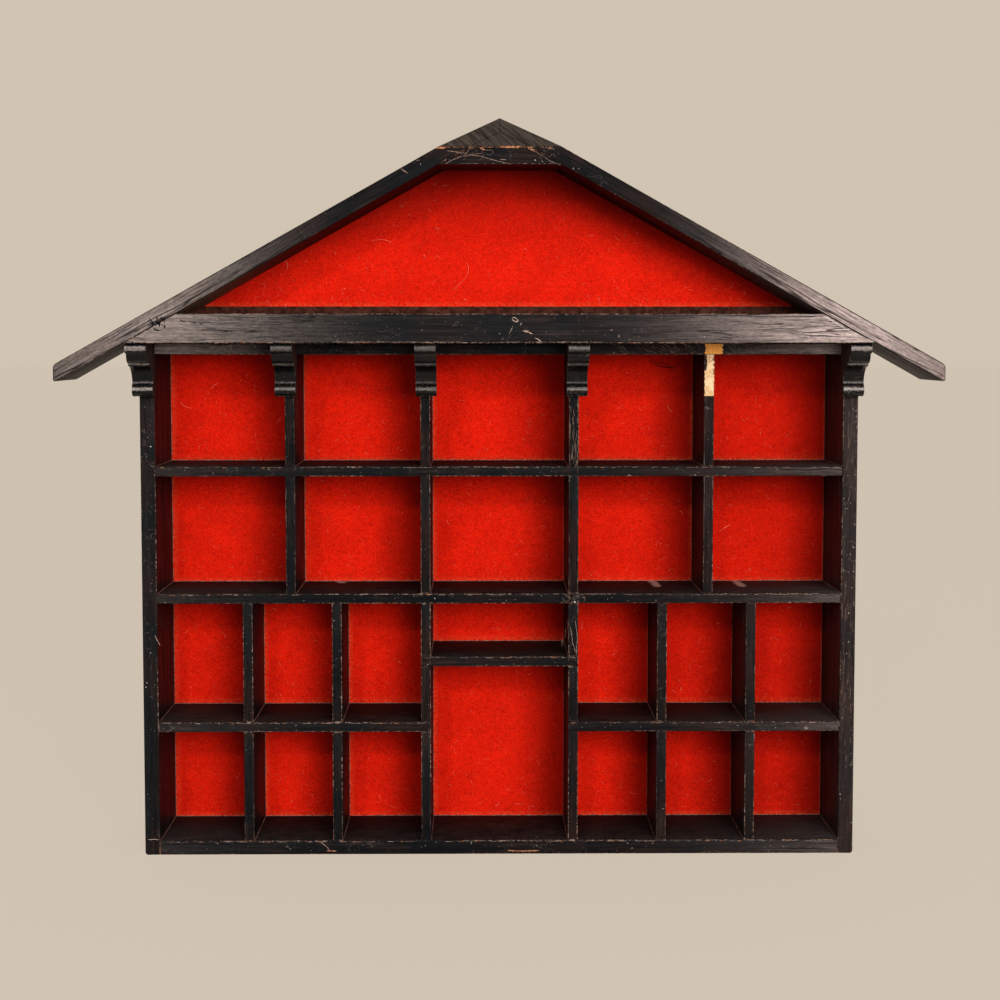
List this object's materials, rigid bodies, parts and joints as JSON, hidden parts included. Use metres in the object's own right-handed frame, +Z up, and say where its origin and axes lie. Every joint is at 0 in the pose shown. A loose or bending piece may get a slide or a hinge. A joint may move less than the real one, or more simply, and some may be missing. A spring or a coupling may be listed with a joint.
{
  "type": "display case",
  "caption": "Open house-shaped case with a gabled roof and moulded corbels, divided by shelves and uprights into small felt-lined cells for showing collected items.",
  "frame": {"origin": "on the floor, under the middle of the whole case's width and depth", "axes": "+X to the right along the width, +Y from the open front to the back, +Z up"},
  "size_m": [0.551, 0.1132, 0.4706],
  "materials": {
    "ebonised_wood": "worn satin black stain over wood grain",
    "red_felt": "short napped felt",
    "hardboard": "smooth brown hardboard",
    "steel": "plain wire and sheet",
    "bared_wood": "torn wood with dried glue"
  },
  "bodies": {
    "root": {"side_left": "ebonised_wood", "side_right": "ebonised_wood", "bottom_board": "ebonised_wood", "top_board": "ebonised_wood", "shelf_upper": "ebonised_wood", "shelf_middle": "ebonised_wood", "shelf_lower_left": "ebonised_wood", "shelf_lower_right": "ebonised_wood", "shelf_centre": "ebonised_wood", "divider_upper_left": "ebonised_wood", "divider_tall_left": "ebonised_wood", "divider_tall_right": "ebonised_wood", "divider_upper_right": "ebonised_wood", "divider_lower_left_outer": "ebonised_wood", "divider_lower_left_inner": "ebonised_wood", "divider_lower_right_inner": "ebonised_wood", "divider_lower_right_outer": "ebonised_wood", "gable_base": "ebonised_wood", "roof_left": "ebonised_wood", "roof_right": "ebonised_wood", "ridge_block": "ebonised_wood", "gable_sill": "ebonised_wood", "corbel_side_left": "ebonised_wood", "corbel_outer_left": "ebonised_wood", "corbel_inner_left": "ebonised_wood", "corbel_inner_right": "ebonised_wood", "corbel_side_right": "ebonised_wood", "back_panel": "hardboard", "gable_back": "hardboard", "box_felt": "red_felt", "gable_felt": "red_felt", "hanger_left": "steel", "hanger_right": "steel", "hanger_pins": "steel", "brads_side_left": "steel", "brads_side_right": "steel", "brads_back_panel": "steel", "brads_roof_left": "steel", "brads_roof_right": "steel", "brads_gable_back": "steel", "corbel_scar": "bared_wood"}
  },
  "joints": []
}
